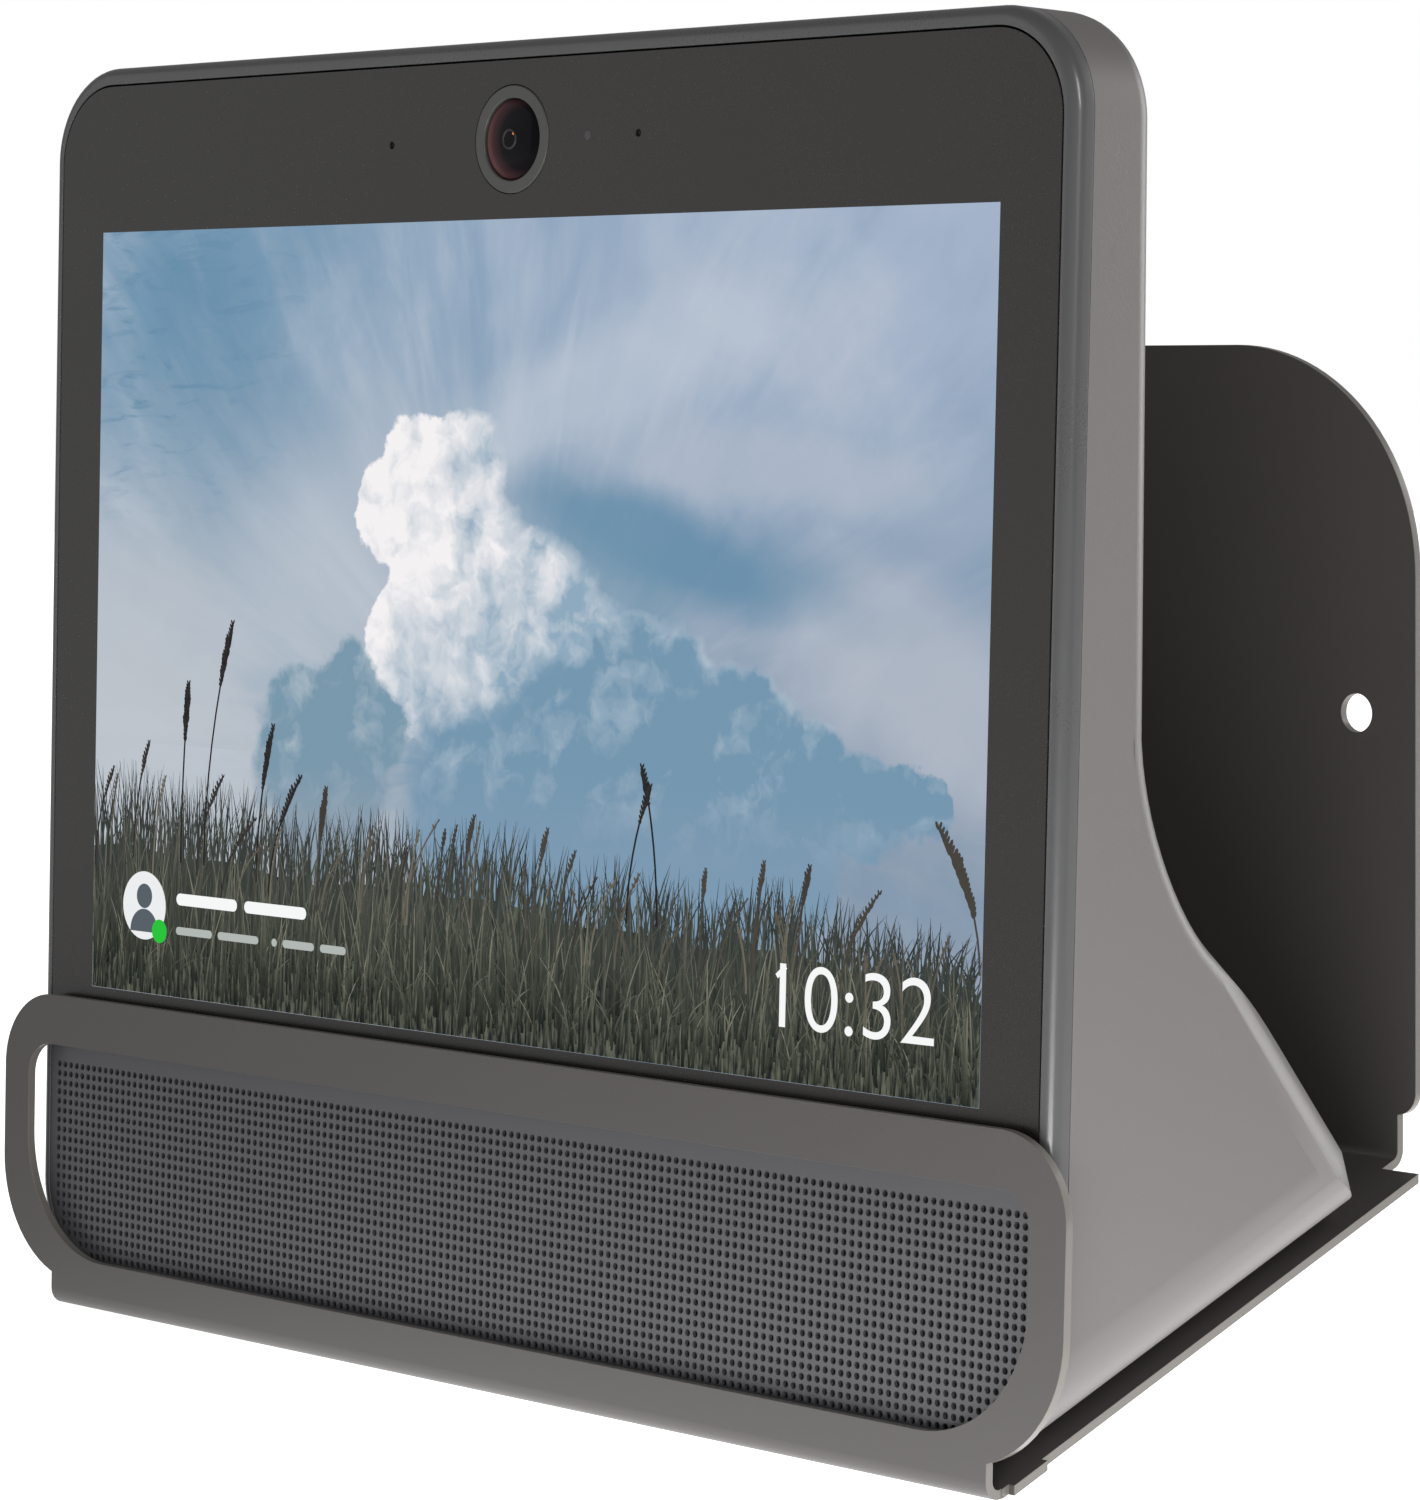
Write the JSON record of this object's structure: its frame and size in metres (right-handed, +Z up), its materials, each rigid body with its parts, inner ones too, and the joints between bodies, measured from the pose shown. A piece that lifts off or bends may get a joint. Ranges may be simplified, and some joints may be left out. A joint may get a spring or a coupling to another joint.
{
  "type": "smart display",
  "caption": "Landscape smart display with a wedge foot and a speaker grille below the screen, standing in a bent sheet-metal wall bracket with a sloping floor.",
  "frame": {"origin": "on the wall plane, midway between the bracket's two screw holes", "axes": "+X to the right as seen from the front, +Y into the wall, +Z up"},
  "size_m": [0.259, 0.1103, 0.223],
  "materials": {
    "bracket": "fine satin powder coat",
    "rim": "satin",
    "cover_glass": "dark printed glass",
    "speaker_grille": "satin, perforated",
    "shell": "fine matte",
    "base": "matte",
    "rubber": "matte",
    "steel": "plain",
    "panel": "smooth",
    "diffuser": "matte",
    "alu": "plain",
    "board": "solder resist",
    "copper_film": "film",
    "lens": "polished",
    "black_plastic": "matte",
    "gasket": "matte",
    "button": "matte",
    "cone": "matte"
  },
  "bodies": {
    "bracket": {"bracket": "bracket"},
    "display": {"rim": "rim", "cover_glass": "cover_glass", "speaker_grille": "speaker_grille", "rear_shell": "shell", "base_cover": "base", "rubber_feet": "rubber", "base_screws": "steel", "lcd_panel": "panel", "backlight": "diffuser", "chassis": "alu", "chassis_screws": "steel", "main_board": "board", "shield_can": "steel", "heat_spreader": "alu", "display_flex": "copper_film", "camera_ring": "black_plastic", "camera_lens": "lens", "camera_barrel": "black_plastic", "camera_board": "board", "mic_boards": "board", "mic_gaskets": "gasket", "light_sensor": "panel", "button_board": "board", "antenna_left": "copper_film", "antenna_right": "copper_film", "speaker_box": "black_plastic", "basket_left": "black_plastic", "basket_right": "black_plastic", "magnet_left": "steel", "magnet_right": "steel", "power_jack": "black_plastic"},
    "volume_up_body": {"volume_up": "button"},
    "volume_down_body": {"volume_down": "button"},
    "mute_button_body": {"mute_button": "button"},
    "cone_left_body": {"cone_left": "cone"},
    "cone_right_body": {"cone_right": "cone"}
  },
  "joints": [
    {"name": "display_lift", "type": "slide", "parent": "bracket", "child": "display", "axis": [0, 0.0454, 0.999], "range_m": [0, 0.08]},
    {"name": "volume_up_press", "type": "slide", "parent": "display", "child": "volume_up_body", "axis": [0, -0.0454, -0.999], "range_m": [0, 0.0005], "stiffness_N_per_m": 800},
    {"name": "volume_down_press", "type": "slide", "parent": "display", "child": "volume_down_body", "axis": [0, -0.0454, -0.999], "range_m": [0, 0.0005], "stiffness_N_per_m": 800},
    {"name": "mute_button_press", "type": "slide", "parent": "display", "child": "mute_button_body", "axis": [0, -0.0454, -0.999], "range_m": [0, 0.0005], "stiffness_N_per_m": 800},
    {"name": "cone_left_stroke", "type": "slide", "parent": "display", "child": "cone_left_body", "axis": [0, 0.999, -0.0454], "range_m": [-0.001, 0.001], "stiffness_N_per_m": 2000},
    {"name": "cone_right_stroke", "type": "slide", "parent": "display", "child": "cone_right_body", "axis": [0, 0.999, -0.0454], "range_m": [-0.001, 0.001], "stiffness_N_per_m": 2000}
  ]
}
